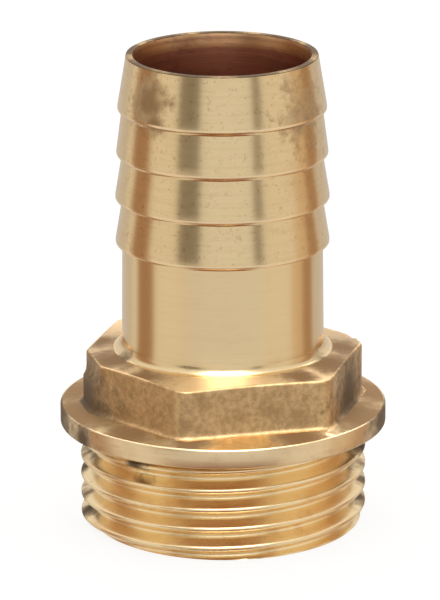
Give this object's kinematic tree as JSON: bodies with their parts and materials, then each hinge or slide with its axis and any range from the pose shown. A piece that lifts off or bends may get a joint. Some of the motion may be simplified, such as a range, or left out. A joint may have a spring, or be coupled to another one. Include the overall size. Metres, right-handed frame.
{
  "type": "hose tail fitting",
  "caption": "One-piece brass hose tail: a parallel threaded end with a sealing collar, a spanner hexagon, a plain shank and a barbed end for a push-on hose.",
  "frame": {"origin": "centre of the threaded end face, on the bore axis", "axes": "+Z along the bore axis from the threaded end to the hose end; two hexagon flats face -Y and +Y; +X completes the right-handed frame"},
  "size_m": [0.038, 0.0378, 0.0558],
  "materials": {
    "brass": "turned and as-forged, lightly tarnished"
  },
  "bodies": {
    "root": {"hose_tail": "brass"}
  },
  "joints": []
}
